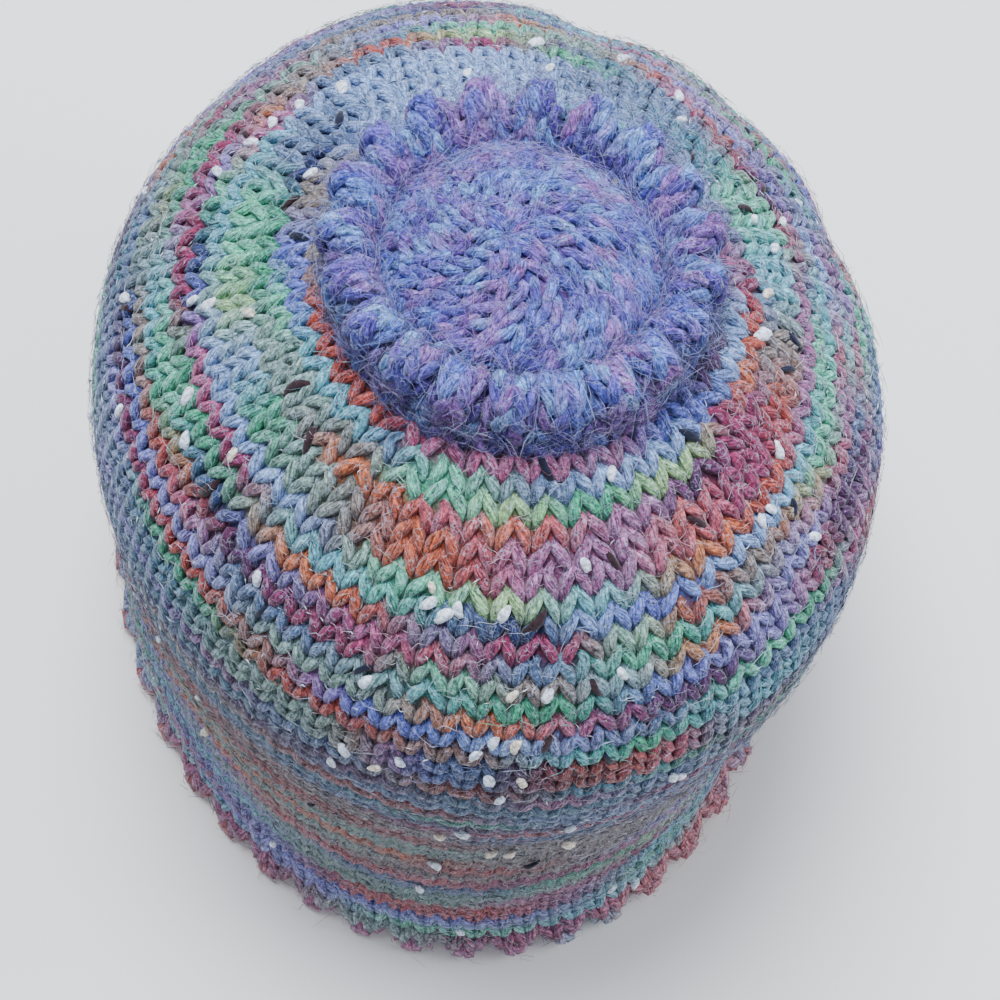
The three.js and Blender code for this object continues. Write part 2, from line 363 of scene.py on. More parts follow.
# How the yarn changes colour round the hat, from the edge up: each line gives runs of colour in 24 steps
# from the back, by the left and the front. There are 40 lines, and each round takes the one at its height.
CHART = """
raspberry 3, brick 2.5, coral 1.5, brick 2, rose 3.3, aqua .7, coral 2, brick 2.5, lavender 2, rose 2.5,
orange 2;
lavender 2, mauve 3, slate 2, raspberry 2.5, sage 1.5, raspberry 2, coral 2, slate 1, brick 2.5, lavender 2.5,
mint 3;
slate 3, brick 3, aqua 2.5, lavender 1.5, mint 2, aqua 1.2, sage 1, coral 1.3, slate 3, raspberry 2, slate 3.5;
mauve 3, lavender 3, moss 1.5, periwinkle 2.5, sky 1.5, slate 1, aqua 2, brick 1.5, slate 3.5, mint 2,
lavender 2.5;
slate 4, orange 2, rose 2.5, periwinkle 3.5, slate 1, emerald 1.5, periwinkle 3, sage 3, rose 3.5;
brick 2, slate 3, emerald 2, lavender 2.5, coral 2.5, mauve 1, aqua 2, lavender 3, slate 3, mint 3;
slate 3, mauve 3, aqua 3, sage 2.5, rose 1.5, raspberry 1, slate 4, orange 2, lavender 4;
teal 3, slate 4, lavender 2, sage 3.5, taupe 2, aqua 1.5, slate 5, plum 1, slate 2;
slate 4, raspberry 2, sage 3.5, slate 2.3, emerald 1.4, moss 1.2, slate 4, lavender 5.6;
mauve 2, slate 4, lavender 2.5, coral 2.8, raspberry 1.7, mauve 2, slate 4, aqua 2, slate 3;
sage 2, slate 4, orange 3, taupe 4, lavender 4, slate 3, rust 1, slate 3;
lavender 3, slate 4, sage 3.5, brick 1.5, taupe 3, plum 1.5, slate 4.5, lavender 3;
slate 5, orange 2, tan 1.5, orange 2.5, taupe 3, slate 3, mauve 2, slate 3, teal 2;
taupe 4, lavender 3, sage 4, taupe 3, teal 2.5, slate 4.5, raspberry 1, slate 2;
slate 3, emerald 1, slate 3, brick 2.5, sage 2, taupe 2.5, slate 3, lavender 4, orange 1, sage 2;
lavender 4, slate 3, rust 4, taupe 1.5, plum 1.5, teal 3, slate 4, plum 1, slate 2;
slate 4, mauve 2, rust 2, taupe 3, navy 1, teal 2.5, slate 5, lavender 2.5, rose 2;
taupe 2, slate 4, brick 3, taupe 2, slate 3, aqua 3, slate 4, emerald 1, lavender 2;
sage 3, slate 3, taupe 4, raspberry 1.2, brick .8, raspberry 1.5, aqua 2.5, lavender 4, mauve 2, slate 2;
slate 5, raspberry 2, slate 3.5, plum 1.5, slate 2, teal 3, lavender 3, orange 1, slate 3;
lavender 3, sage 3, teal 4.5, emerald .8, slate 2.7, plum 2, slate 3, mint 2, slate 3;
slate 4, lavender 3, taupe 2, rust 2, slate 1.5, raspberry 1.5, slate 4, brick 1.5, lavender 4.5;
taupe 2, slate 2, raspberry 1, slate 3, plum 1.5, slate 1.5, teal 1.5, slate 1, emerald 1, plum 1.5, slate 2,
mauve 1.5, teal 2, slate 2.5;
slate 3, orange 1, lavender 2.5, teal 2.5, plum 1.5, teal .8, rose .7, slate 1.5, taupe 1, slate 2,
raspberry .8, sage 1.7, slate 2.5, emerald 1.5, lavender 1;
rose 1.5, slate 2.5, mint 1.5, lavender 2.5, raspberry .5, slate 1.5, taupe .4, rust 1, teal 1.3, emerald .5,
plum 1, slate 1.8, rust 1, lavender 1.5, teal 1.5, mauve 1, slate 3;
emerald 1.5, lavender 2, plum 1, slate 2.5, teal 1, sage 1.8, brick .3, periwinkle .4, slate .5, navy .4,
rust 1, coral .4, raspberry .5, aqua 1.2, slate 1, brick .8, periwinkle 1.2, aqua 1.5, raspberry 1, slate 2,
tan .8, slate 1.2;
slate 2.5, orange 1, teal 1.5, lavender 1.6, emerald 1.8, brick 1.7, taupe .7, rust .4, aqua .8, emerald 1,
aqua .5, slate 1.5, rose 1, slate 1.5, mint 1, mauve 1.2, slate 1.3, rust .8, sage 1.2, lavender 1;
lavender 2, sage 1.5, slate 1.5, plum 1, raspberry 1, brick 1.2, taupe .6, brick .4, periwinkle 1.5, sky .9,
lavender .4, slate 1.2, mint .8, emerald 1.2, mauve 1.3, slate 1.5, orange .6, periwinkle 1.4, emerald 1.5,
slate 1.5, raspberry 1;
slate 2, raspberry 1, sage 1.6, navy .6, periwinkle 1.3, lavender 1.7, sage 1.8, taupe .4, orange 1, rose .8,
plum 1.6, lavender .8, brick .4, plum 1.4, mauve .6, mint 1, slate 1.5, brick .8, lavender 1.2, aqua 1.5,
plum 1;
taupe 1.5, mauve 1.1, emerald 1.2, tan .4, aqua .4, taupe 1.4, brick 1, rose .6, slate 1.8, sage .6, aqua .5,
emerald 1.6, slate .5, periwinkle .6, lavender 1.4, brick .4, plum 1.2, slate .8, orange .4, lavender .6,
raspberry .4, slate .6, emerald 1, sage 1, rose 1, slate 1, taupe 1;
lavender 1, sage 1.5, emerald 1.5, sage .6, aqua 1, emerald .9, tan .4, brick .5, plum 1.1, raspberry 1.5,
mint .8, taupe 1.3, aqua .5, tan .7, orange .7, lavender 1.5, brick .5, mauve 1, mint .4, sky .4, raspberry .5,
lavender .7, teal .6, mauve .8, lavender 1.1, sage 1, orange .8, lavender .7;
slate 1, taupe 1.4, raspberry 1.4, mauve .7, aqua .5, mint 1.6, teal .4, navy .8, lavender .8, plum .6, rose 1,
brick .5, slate 1.3, mint .6, emerald .8, aqua .6, taupe .6, lavender .5, orange .5, mint .6, mauve .8,
brick .5, sky 1.3, plum .6, lavender 1.4, brick .8, sage 1.2, mint 1.2;
brick 1.2, taupe 1, orange .6, lavender .8, raspberry 1.9, emerald 1.9, sage .6, orange 1.2, brick .7, slate .6,
raspberry 1.7, mint .6, brick .8, taupe 1.2, orange .4, mint 1.8, aqua 1.3, brick .5, periwinkle .8, rust .8,
rose .8, teal 1, plum .6, moss 1.2;
slate 2, rose 1.2, mint .8, navy 1, periwinkle .5, rose 1.1, raspberry 1.2, sage .5, aqua 1.1, mint .6,
slate .6, navy 1.1, sky .6, periwinkle 1.1, sky 1.6, aqua 1.3, mint 1.1, slate .8, brick .4, plum 1.2, rust .5,
slate 1.4, emerald 1.1, raspberry 1.2;
sky 2.5, aqua 2.3, sage .7, sky 3.1, taupe .6, mint 1.2, moss 1.2, aqua .8, sage .6, tan .4, orange .8,
brick 1.4, mauve 2.6, mint 1.2, taupe .6, slate 2.5, sky 1.5;
sky 1.6, slate 1.7, mint 1.7, moss .8, sky .8, emerald .9, sage 1, taupe .7, brick .4, orange .4, brick .8,
rose .4, mauve 1.8, coral 1, raspberry 1.5, brick .8, taupe 1, aqua 1.3, mint 1, teal 1.4, slate 1.5, sky 1.5;
sky 2, navy 1.6, emerald 1.9, sage 2, taupe .5, orange 1.2, brick .8, rose .4, orange .6, coral 1, mauve 1.5,
plum 1, raspberry 1.5, taupe 1, slate .7, aqua .8, mint 1, slate 2, sky 2.5;
sky 2.5, taupe 1.5, periwinkle 1, mint 1, sage 2, taupe 1, mint 1.5, moss 1, emerald 1.5, moss 1.5, raspberry 1,
orange .7, brick 1.1, raspberry .9, slate 2.8, aqua 1.5, sky 1.5;
sky 2, taupe 2, periwinkle 2, aqua 2.5, slate .8, mint 1.2, sage .5, slate 1, sky 2.5, periwinkle 1, sky 2,
rose 1, slate 2.5, aqua 1.5, sky 1.5;
slate 3, taupe 2.3, brick 3.5, rose 3.2, mauve 1.5, periwinkle 1.5, plum 1.5, slate 7.5
"""
BREAKS = ("teal sage", "rose periwinkle", "emerald taupe", "plum sky", "orange mauve", "periwinkle aqua",
          "raspberry sage", "mint lavender", "brick teal", "sky rose")    # dyes that break up a plain run
PLAIN_LINES, FRONT_STEPS, LONG_RUN = range(3, 27), (4.5, 18), 2.5


def broken_up(lines):
    """The runs of each line. On the lower wall, each long plain run that starts outside the front steps is
    broken up by two dyes, the pairs being taken in turn."""
    chart, turn = [], 0
    for number, line in enumerate(lines):
        runs, step = [], 0
        for colour, length in map(str.split, line.split(",")):
            length = float(length)
            if (number in PLAIN_LINES and colour in ("slate", "lavender") and length >= LONG_RUN
                    and not FRONT_STEPS[0] <= step < FRONT_STEPS[1]):
                one, other = BREAKS[turn % len(BREAKS)].split()
                first, last = round(length * 0.36, 1), round(length * 0.3, 1)
                plain = (colour, round(length - first - last, 1))
                runs += [plain, (one, first), (other, last)] if turn % 2 else [(one, first), plain, (other, last)]
                turn += 1
            else:
                runs.append((colour, length))
            step += length
        chart.append(runs)
    return chart


CHART = broken_up(CHART.split(";"))


def striped(runs):
    """A dye that changes round the hat: its runs are in 24 steps from the back, by the left and the front."""
    ends = np.cumsum([length for _, length in runs])
    starts = np.concatenate([[0], ends[:-1]])
    table = np.array([[to_linear(code)[:3] for code in YARN_COLOURS[colour]] for colour, _ in runs])
    fade = 0.45

    def dye(azimuth):
        step = ((np.degrees(azimuth) - 90) / 15) % 24
        index = np.minimum(np.searchsorted(ends, step, side="right"), len(runs) - 1)
        into = (np.clip((step - starts[index]) / fade, 0, 1) * 0.5 + 0.5)[:, None, None]
        out = (np.clip((ends[index] - step) / fade, 0, 1) * 0.5 + 0.5)[:, None, None]
        colour = table[index] * into + table[index - 1] * (1 - into)
        colour = colour * out + table[(index + 1) % len(runs)] * (1 - out)
        return colour[:, 0], colour[:, 1]
    return dye


FELT_GREY, FELTED = to_linear("#8C8C9C"), 0.3    # the lower wall is rubbed, and its fibres matted and paler


def felt_share(number):
    """How far a round is felted: little at the edge, fully from round 8 to 24, and not at all past 29."""
    return min(max((29.5 - number) / 5.5, 0), 1) * min(max(number / 8, 0.25), 1)


def wall_dye(number):
    """The dye of a round: the chart's line at its height, greyer where the wall is felted."""
    felted = FELTED * felt_share(number)
    dye = striped(CHART[int(abs(number + 0.5) / ROUNDS * len(CHART))])
    return lambda azimuth: [colour * (1 - felted) + np.array(FELT_GREY) * felted for colour in dye(azimuth)]


def spun_wool(name):
    """Woollen yarn, loosely spun: fibres of two shades lie side by side, with a slight twist. It is matt, and
    its hairs catch a little light at grazing angles."""
    material, tree, shader = new_material(name, {
        "Roughness": 0.85, "Specular IOR Level": 0.2, "Sheen Weight": 0.2, "Sheen Roughness": 0.4})
    main = add_node(tree, "Attribute", {"attribute_name": "yarn_main"})
    second = add_node(tree, "Attribute", {"attribute_name": "yarn_second"})
    strand = add_node(tree, "UVMap", {"uv_map": "strand"})
    parts = add_node(tree, "SeparateXYZ", {"Vector": strand.outputs["UV"]})
    # The fibres go once round the strand in 25 mm. Real ones are 0.03 mm thick, and are drawn as bundles of
    # about 1 mm in two shades, and streaks of 0.5 by 2.5 mm in these, so that they show.
    twist = add_node(tree, "Math", {"operation": "MULTIPLY_ADD", 0: parts.outputs["X"], 1: 4.0,
                                    2: parts.outputs["Y"]})
    lay = add_node(tree, "CombineXYZ", {"X": parts.outputs["X"], "Y": twist.outputs[0]})
    coarse = add_node(tree, "Mapping", {"Scale": (9, 7, 1), "Vector": lay.outputs[0]})
    bundles = add_node(tree, "TexNoise", {"Scale": 1.0, "Detail": 3.0, "Roughness": 0.75,
                                          "Vector": coarse.outputs[0]})
    share = add_node(tree, "MapRange", {"From Min": 0.42, "From Max": 0.64, "To Max": 0.5,
                                        "Value": bundles.outputs["Fac"]})
    mixed = add_node(tree, "Mix", {"data_type": "RGBA", "Factor": share.outputs[0], 6: main.outputs["Color"],
                                   7: second.outputs["Color"]})
    fine = add_node(tree, "Mapping", {"Scale": (40, 17, 1), "Location": (3, 7, 0), "Vector": lay.outputs[0]})
    streaks = add_node(tree, "TexNoise", {"Scale": 1.0, "Detail": 3.0, "Roughness": 0.7,
                                          "Vector": fine.outputs[0]})
    light = add_node(tree, "MapRange", {"From Min": 0.36, "From Max": 0.66, "To Min": 0.2, "To Max": 1.6,
                                        "Value": streaks.outputs["Fac"]})
    # Hairs matted across the strand break the streaks up every 0.8 mm.
    place = add_node(tree, "TexCoord", {}).outputs["Object"]
    matting = add_node(tree, "TexNoise", {"Scale": 1250.0, "Detail": 3.0, "Roughness": 0.7, "Vector": place})
    broken = add_node(tree, "MapRange", {"From Min": 0.36, "From Max": 0.66, "To Min": 0.5, "To Max": 1.42,
                                         "Value": matting.outputs["Fac"]})
    shade = add_node(tree, "Math", {"operation": "MULTIPLY", 0: light.outputs[0], 1: broken.outputs[0]})
    colour = add_node(tree, "VectorMath", {"operation": "SCALE", 0: mixed.outputs[2],
                                           "Scale": shade.outputs[0]}).outputs[0]
    # Fine hairs pressed flat over the loops, some dark and some pale, about 3 mm apart and 0.1 mm wide.
    for shift, code, most in ((0.0, "#1B1E36", 0.4), (0.7, "#1B1E36", 0.28), (0.4, "#D4DCEC", 0.32)):
        spread = add_node(tree, "Mapping", {"Location": (shift, 0, shift), "Vector": place})
        wander = add_node(tree, "TexNoise", {"Scale": 300.0, "Detail": 2.0, "Roughness": 0.75,
                                             "Vector": spread.outputs[0]})
        ridge = add_node(tree, "Math", {"operation": "SUBTRACT", 0: wander.outputs["Fac"], 1: 0.5})
        near = add_node(tree, "Math", {"operation": "ABSOLUTE", 0: ridge.outputs[0]})
        hair = add_node(tree, "MapRange", {"From Min": 0.002, "From Max": 0.018, "To Min": most, "To Max": 0.0,
                                           "Value": near.outputs[0]})
        laid = add_node(tree, "Mix", {"data_type": "RGBA", "Factor": hair.outputs[0], 6: colour,
                                      7: (*to_linear(code), 1)})
        colour = laid.outputs[2]
    tree.links.new(colour, shader.inputs["Base Color"])
    bump = add_node(tree, "Bump", {"Strength": 0.8, "Distance": 0.0006, "Height": streaks.outputs["Fac"]})
    tree.links.new(bump.outputs[0], shader.inputs["Normal"])
    return material


def dress(piece, material, node):
    """Puts a finished piece in the place of its node."""
    piece.data.materials.append(material)
    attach(piece, "root")
    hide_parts(node)


tweed_wool = spun_wool("loosely spun tweed wool")
places = (np.arange(EDGE_STITCHES) * 0.5 - 0.125) * TURN * 2 / EDGE_STITCHES
stands = []  # the feet, places and heads of each round's stitches
for number in range(ROUNDS):
    narrowing = max(0.0, (number - FIRST_DECREASE + 1) / (ROUNDS - FIRST_DECREASE))
    count = round(EDGE_STITCHES + (NECK_STITCHES - EDGE_STITCHES) * narrowing)
    heads, feet, places = next_round(places, count, dice.random())
    if stands:
        stands[-1][2] = heads
    stands.append([feet, places, places])
wall_rounds = []
for number in range(5, ROUNDS):
    width = TURN * np.linalg.norm(wall_point(np.array([number / ROUNDS]), np.zeros(1))[0, :2])
    radius = STRAND * min(1.0, 0.75 + 0.25 * width / len(stands[number][0]) / FULL_STITCH)
    flat = 1 - 0.5 * felt_share(number)
    strand = knit_round(wall_middle, number * ROW, ROW, stands[number], radius, flat)
    wall_rounds.append(tint(strand, number, wall_dye(number)))
# The felted lower wall hides its strands, so four sides are enough for them.
for name, first, last, sides in (("lower_wall_knit", 0, 13, 4), ("middle_wall_knit", 13, 26, 5),
                                 ("shoulder_knit", 26, 39, 5)):
    dress(strand_mesh(name, wall_rounds[first:last], sides), tweed_wool, "body")


def stray_wool(name, streaks, scale=2000.0):
    """Undyed or matted wool: its own colour, broken by fine fibres where it is thick enough to show them."""
    material, tree, shader = new_material(name, {
        "Roughness": 0.8, "Specular IOR Level": 0.2, "Sheen Weight": 0.2})
    colour = add_node(tree, "Attribute", {"attribute_name": "fibre_colour"})
    place = add_node(tree, "TexCoord", {})
    # Bundles of fibre 0.5 mm apart, or the scale's share of a metre.
    noise = add_node(tree, "TexNoise", {"Scale": scale, "Detail": 2.0, "Vector": place.outputs["Object"]})
    light = add_node(tree, "MapRange", {"From Min": 0.3, "From Max": 0.7, "To Min": 1 - streaks,
                                        "To Max": 1 + streaks, "Value": noise.outputs["Fac"]})
    tone = add_node(tree, "VectorMath", {"operation": "SCALE", "Vector": colour.outputs["Color"],
                                         "Scale": light.outputs[0]})
    tree.links.new(tone.outputs[0], shader.inputs["Base Color"])
    bump = add_node(tree, "Bump", {"Strength": 0.5, "Distance": 0.0004, "Height": noise.outputs["Fac"]})
    tree.links.new(bump.outputs[0], shader.inputs["Normal"])
    return material


def matted_layer(name, surface, numbers, row, dye, shade, fill, steps=120):
    """The fibres matted together inside the fabric: a thin closed web, fill millimetres outside the middle of
    the rounds, that closes the gaps between loops. Its colour is the dye times shade, which is painted shade in
    the gaps between loops. Dye, shade and fill are functions of the round."""
    turn = np.arange(steps) * TURN / steps
    rings, colours = [], []
    for number in numbers:
        way = np.full(steps, number * row)
        rings.append(surface(way, turn) + outward(surface, way, turn) * fill(number))
        colours.append(dye(min(number, numbers[-1] - 1))(turn)[0] * shade(number))
    corners = np.concatenate(rings)
    i, j = np.meshgrid(np.arange(len(rings) - 1), np.arange(steps), indexing="ij")
    beside = (j + 1) % steps
    a, b, c, d = i * steps + j, i * steps + beside, (i + 1) * steps + beside, (i + 1) * steps + j
    faces = np.stack([np.stack([a, b, c], -1), np.stack([a, c, d], -1)], 2).reshape(-1, 3)
    piece = new_piece(name, corners, faces, fibre_colour=np.concatenate(colours))
    thick = piece.modifiers.new("thickness", "SOLIDIFY")
    thick.thickness = 0.4 * MM
    return piece


matted = stray_wool("matted wool fibre", 0.5)
# Painted shade between the loops: the web's colour is the dye darkened to 0.5, up to 0.7 where felted.
wall_web = matted_layer("wall_matted_fibres", wall_middle, np.arange(3.5, ROUNDS + 1), ROW,
                        lambda n: wall_dye(int(n)), lambda n: 0.5 + 0.2 * felt_share(n),
                        lambda n: 0.5 + 0.5 * felt_share(n))
dress(wall_web, matted, "body")


# ------------------------------------------------------------
# The hem: the same wool, folded inside on a round of holes, so the fold makes a row of small round teeth, two
# stitches each. The facing behind it is sewn down out of sight.

TOOTH_HEIGHT, TOOTH_FLARE = 2.6, 2.4
TOOTH_REACH = 9.0  # how far up the teeth fade out
FOLD_HEIGHT, FOLD_RADIUS = 4.0, 1.6  # where the fold begins, and half the distance between the layers
HEM_MIDDLE = 2.3  # millimetres in from the outer surface to the outer layer's middle


def tooth_phase(azimuth):
    """0 in the middle of a tooth and 1 between two, with the azimuth of the tooth's middle."""
    pitch = TURN * 2 / EDGE_STITCHES
    nearest = np.round(azimuth / pitch - 0.125) + 0.125
    return np.abs(azimuth / pitch - nearest) * 2, nearest * pitch


def hem_middle(way, azimuth):
    """The folded fabric's middle: the way runs up the outer layer, and below the fold up the facing."""
    bend = np.clip((FOLD_HEIGHT - way) / FOLD_RADIUS, 0, math.pi)
    facing = np.maximum(FOLD_HEIGHT - way - math.pi * FOLD_RADIUS, 0)
    depth = HEM_MIDDLE + FOLD_RADIUS - FOLD_RADIUS * np.cos(bend)
    height = np.maximum(way, FOLD_HEIGHT) - FOLD_RADIUS * np.sin(bend) + facing
    phase, centre = tooth_phase(azimuth)
    near = np.clip(1 - (height - FOLD_HEIGHT + FOLD_RADIUS) / TOOTH_REACH, 0, 1)
    near = near * near * (3 - 2 * near)
    azimuth = azimuth + (centre - azimuth) * 0.34 * near ** 2
    height = height + TOOTH_HEIGHT * phase ** 3.2 * near
    depth = depth - TOOTH_FLARE * near * (1 - 0.8 * phase ** 2)
    return outer_wall(height, azimuth) - outward(outer_wall, height, azimuth, WALL_STEP) * depth[:, None]


def hem_dye_with_painted_light(number):
    """The wall's dye, mixed with a pale pink along the edge: painted light that brightens the hem, which faces
    down, away from the overhead light.
    """
    dye = wall_dye(number)
    return lambda azimuth: [colour * 0.92 + np.array(to_linear("#D8C4D4")) * 0.14 for colour in dye(azimuth)]


hem_rounds = []
for number in range(-4, 5):  # up the facing to the fold at -1 to 1, and up the outer layer
    folded = number in (-1, 0, 1)  # there the strand has room to spread
    radius, flat = (1.6, 0.5) if folded else (STRAND, 0.85)
    strand = knit_round(hem_middle, number * ROW, ROW, stands[0], radius, flat)
    hem_rounds.append(tint(strand, number + 60, hem_dye_with_painted_light(number)))
dress(strand_mesh("picot_facing_knit", hem_rounds[:3], 4), tweed_wool, "picot_hem")
dress(strand_mesh("picot_hem_knit", hem_rounds[3:], 5), tweed_wool, "picot_hem")
# Painted shade between the loops: the hem's web is its dye darkened to 0.7.
hem_web = matted_layer("hem_matted_fibres", hem_middle, np.arange(-3, 5.5), ROW, lambda n: hem_dye_with_painted_light(int(n)),
                       lambda n: 0.7, lambda n: 0.7, 4 * EDGE_STITCHES)
dress(hem_web, matted, "picot_hem")


# ------------------------------------------------------------
# The frill: a thinner, hairier violet wool, knitted on from the neck. The fabric rises, folds over at a row
# of lobes, two stitches each, and runs down inside to the valley round the disc.

CROWN_ROW = 3.9
LOBES = 20
LIP_HEIGHT = 10.5  # where the lean of the frill's top is full
FRILL_BASE_PAINTED_SHADE = 0.58  # painted shade: the frill's first rounds, at its base by the wall, are darkened by this
FRILL_PATH = np.array((  # r and h from the middle of the neck, and how much of the lobes each place takes
    (35.2, -2.3, 0.0), (34.2, -1.2, 0.0), (34.0, 1.0, 0.1), (34.4, 3.6, 0.3), (35.0, 6.2, 0.7),
    (35.0, 8.4, 1.0), (34.1, 10.1, 1.0), (32.5, 10.9, 0.95), (30.9, 10.1, 0.8), (29.4, 8.0, 0.5),
    (28.2, 5.5, 0.2), (26.8, 3.8, 0.05), (25.0, 3.4, 0.0),
))
FRILL_STEPS = np.concatenate([[0], np.cumsum(np.linalg.norm(np.diff(FRILL_PATH[:, :2], axis=0), axis=1))])
FRILL_SAG = np.array((0.5, 1.0, 1.6, 1.0, -0.5, -3.6, -4.6, -3.2))  # how far its top leans out, each 45 degrees


def crown_place(flat):
    """Places on the crown, from coordinates about the middle of the neck."""
    return lean(flat, np.ones(len(flat))) + LEVELS[-1, [4, 5, 1]]


def follow(way, steps, path):
    """Places along a path given by its corners; past its ends it runs straight on."""
    i = np.clip(np.searchsorted(steps, way, side="right") - 1, 0, len(steps) - 2)
    p = ((way - steps[i]) / (steps[i + 1] - steps[i]))[:, None]
    return (path[i] * (1 - p) + path[i + 1] * p).T


def frill_middle(way, azimuth):
    r, h, share = follow(way, FRILL_STEPS, FRILL_PATH)
    sag = np.interp(np.degrees(azimuth) % 360, np.arange(9) * 45, np.append(FRILL_SAG, FRILL_SAG[0]))
    share = np.clip(share, 0, 1)
    swell = (6.4 * np.abs(np.cos(LOBES / 2 * azimuth)) ** 0.6 - 4.6) * share
    nearest = np.round(azimuth * LOBES / TURN) * TURN / LOBES
    azimuth = azimuth + (nearest - azimuth) * 0.34 * share ** 6
    r = r + swell + sag * np.clip(h / LIP_HEIGHT, 0, 1)
    h = h + 0.75 * np.minimum(swell, 0.5)
    return crown_place(np.stack([r * np.cos(azimuth), r * np.sin(azimuth), h], 1))


VIOLETS = np.array([to_linear(code) for code in (
    "#7CA8E2", "#6F58B0", "#5A5CB8", "#9A60AC", "#5860C0", "#A874C4", "#6C8CDA", "#54429A")])


def violet(azimuth):
    """The crown's dye, which wanders between light blue, violet and lilac every few stitches."""
    shades = dice.integers(0, len(VIOLETS), (2, 73))
    shades[:, -1] = shades[:, 0]
    spot = (azimuth / TURN % 1) * 72
    low = np.floor(spot).astype(int)
    part = (spot - low)[:, None]
    part = part * part * (3 - 2 * part)
    return [VIOLETS[row[low]] * (1 - part) + VIOLETS[row[low + 1]] * part for row in shades]


violet_wool = spun_wool("hairy violet wool")
lobe_places = (np.arange(NECK_STITCHES) + 0.5) * TURN / NECK_STITCHES
frill_rounds = []
frill_count = round(FRILL_STEPS[-1] / CROWN_ROW)
frill_row = FRILL_STEPS[-1] / frill_count
for number in range(frill_count):
    strand = knit_round(frill_middle, number * frill_row, frill_row, [lobe_places] * 3, 1.2, 0.7, 0.7)
    frill_rounds.append(tint(strand, number + 80, violet))
    # Painted shade at the frill's base: its first rounds are darkened.
    if number < 3:
        frill_rounds[-1]["main"] *= FRILL_BASE_PAINTED_SHADE
        frill_rounds[-1]["second"] *= FRILL_BASE_PAINTED_SHADE
dress(strand_mesh("frill_knit", frill_rounds, 8), violet_wool, "crown_frill")
# Painted shade between the loops and in the notches: the frill's web is its dye darkened to 0.36.
frill_web = matted_layer("frill_matted_fibres", frill_middle, np.arange(0, frill_count + 1), frill_row,
                         lambda n: violet, lambda n: 0.36, lambda n: 0.2)
dress(frill_web, matted, "crown_frill")


# ------------------------------------------------------------
# The disc: the same violet wool in six wedges, each a stitch narrower in every round, down to six stitches
# that are drawn together. The lines of narrowing swirl to the middle.

DISC_PATH = np.array((  # r and h from the middle of the neck
    (25.0, 3.4), (24.4, 5.2), (22.6, 7.4), (19.5, 9.4), (15.0, 11.6), (10.0, 13.2), (5.0, 14.2), (0.2, 14.4),
))
DISC_STEPS = np.concatenate([[0], np.cumsum(np.linalg.norm(np.diff(DISC_PATH, axis=0), axis=1))])
WEDGES = 6
SWIRL = math.radians(7)  # turn of the wedges from round to round
DISC_STRAND = 0.98  # the strand's radius


def disc_middle(way, azimuth):
    r, h = follow(way, DISC_STEPS, DISC_PATH)
    r = np.maximum(r, 0.3)
    aside = np.clip(1 - r / 25, 0, 1) ** 2
    return crown_place(np.stack([r * np.cos(azimuth) - 4 * aside, r * np.sin(azimuth) + 1.5 * aside, h], 1))


disc_rounds = []
disc_row = DISC_STEPS[-1] / 7.6
for number in range(7):
    wedge = np.arange(WEDGES)[:, None] * TURN / WEDGES + SWIRL * number
    each = max(6 - number, 1)
    places = (wedge + (np.arange(each) + 0.5) / each * TURN / WEDGES).ravel()
    feet = heads = places
    if number:  # the last two stitches of each wedge are worked together
        under = np.append(np.arange(each - 1) + 0.5, each) / (each + 1)
        feet = (wedge - SWIRL + under * TURN / WEDGES).ravel()
    if 1 < each:
        over = np.append(np.arange(each - 2) + 0.5, [each - 1.25, each - 0.75]) / each
        heads = (wedge + over * TURN / WEDGES).ravel()
    strand = knit_round(disc_middle, number * disc_row, disc_row, [feet, places, heads], DISC_STRAND, 0.9)
    disc_rounds.append(tint(strand, number + 90, violet))
dress(strand_mesh("disc_knit", disc_rounds, 8), violet_wool, "crown_disc")
# Painted shade between the loops: the disc's web is its dye darkened to half.
disc_web = matted_layer("disc_matted_fibres", disc_middle, np.arange(0, 8), disc_row, lambda n: violet,
                        lambda n: 0.5, lambda n: 0.1)
dress(disc_web, matted, "crown_disc")


# ------------------------------------------------------------
# The neps: small felted knots of undyed and dark wool spun into the tweed yarn. They sit in the strand, longer
# than wide, and stand out of it. The ones that show in front are listed one by one, and the rest fall at random.

